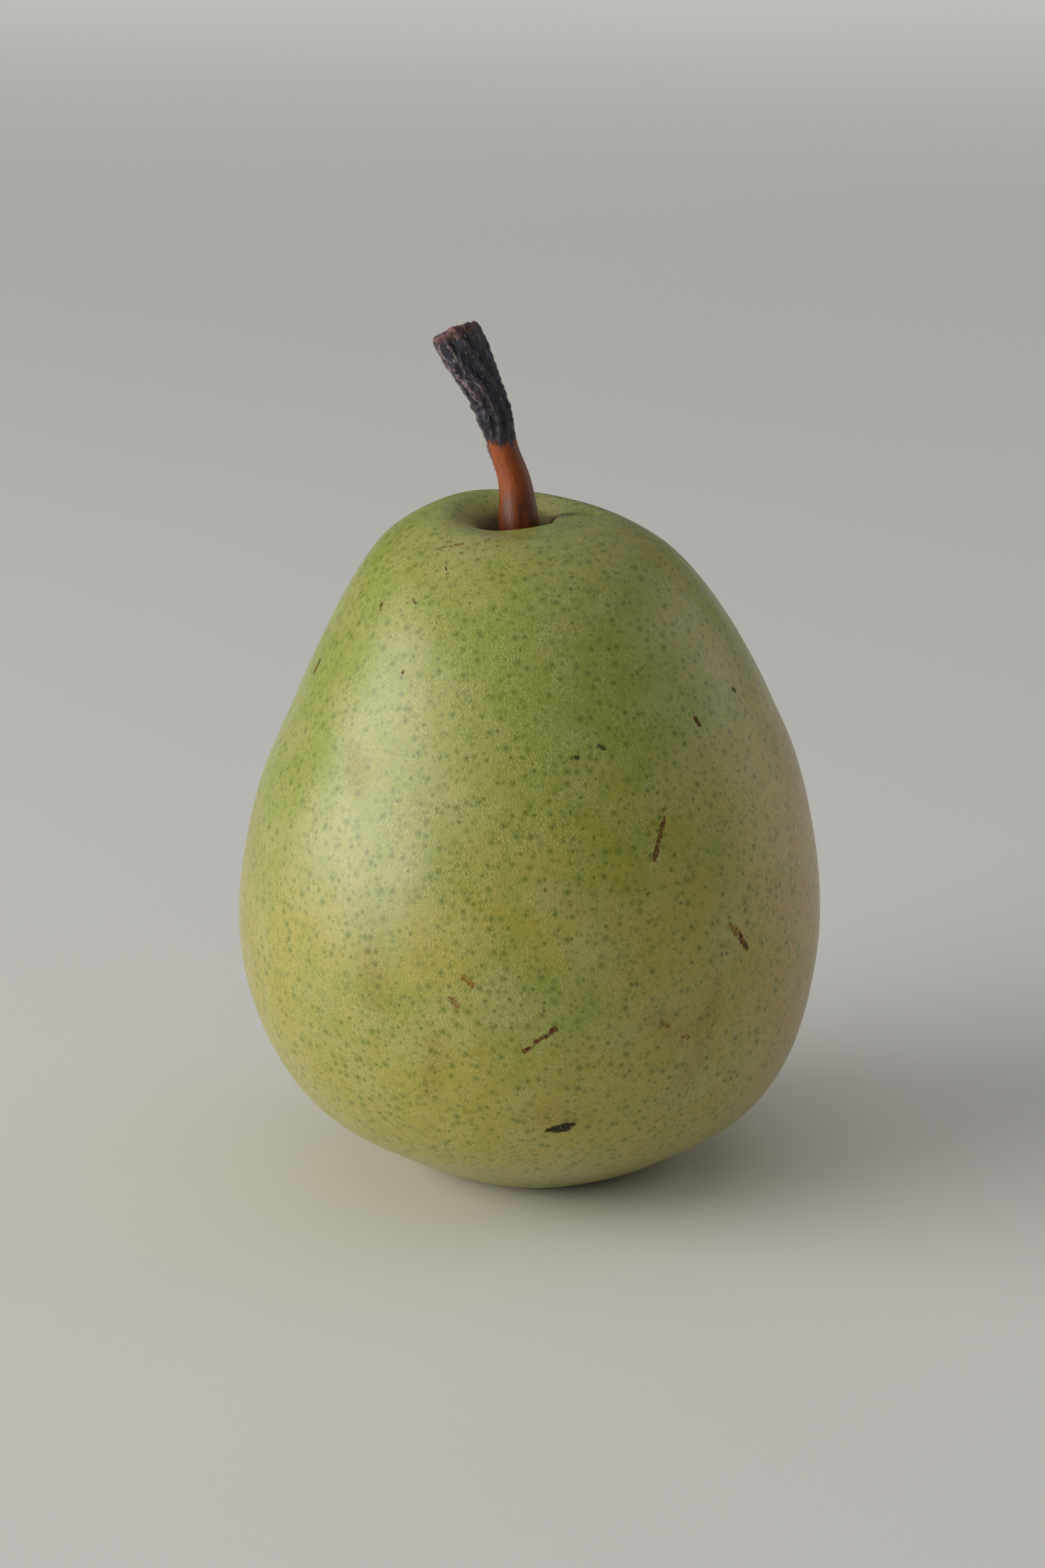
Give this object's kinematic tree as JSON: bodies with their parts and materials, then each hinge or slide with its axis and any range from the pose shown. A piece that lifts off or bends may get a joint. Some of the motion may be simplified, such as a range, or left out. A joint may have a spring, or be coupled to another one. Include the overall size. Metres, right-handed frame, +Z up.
{
  "type": "pear",
  "caption": "Whole fresh green pear with a curved woody stem and a dried calyx, resting upright on its small flat base.",
  "frame": {"origin": "middle of the pear's base, on the surface it rests on", "axes": "+Z up from the calyx towards the stem; the pear's front looks along -Y and the stem leans towards -X"},
  "size_m": [0.076, 0.0761, 0.1113],
  "materials": {
    "skin": "waxy satin skin, green with darker lenticels, russet marks and a warm blush",
    "stem": "smooth orange-brown wood below, black wrinkled bark with pale crusts above",
    "calyx": "dry, matt, dark brown"
  },
  "bodies": {
    "root": {"fruit": "skin", "stem": "stem", "calyx": "calyx"}
  },
  "joints": []
}
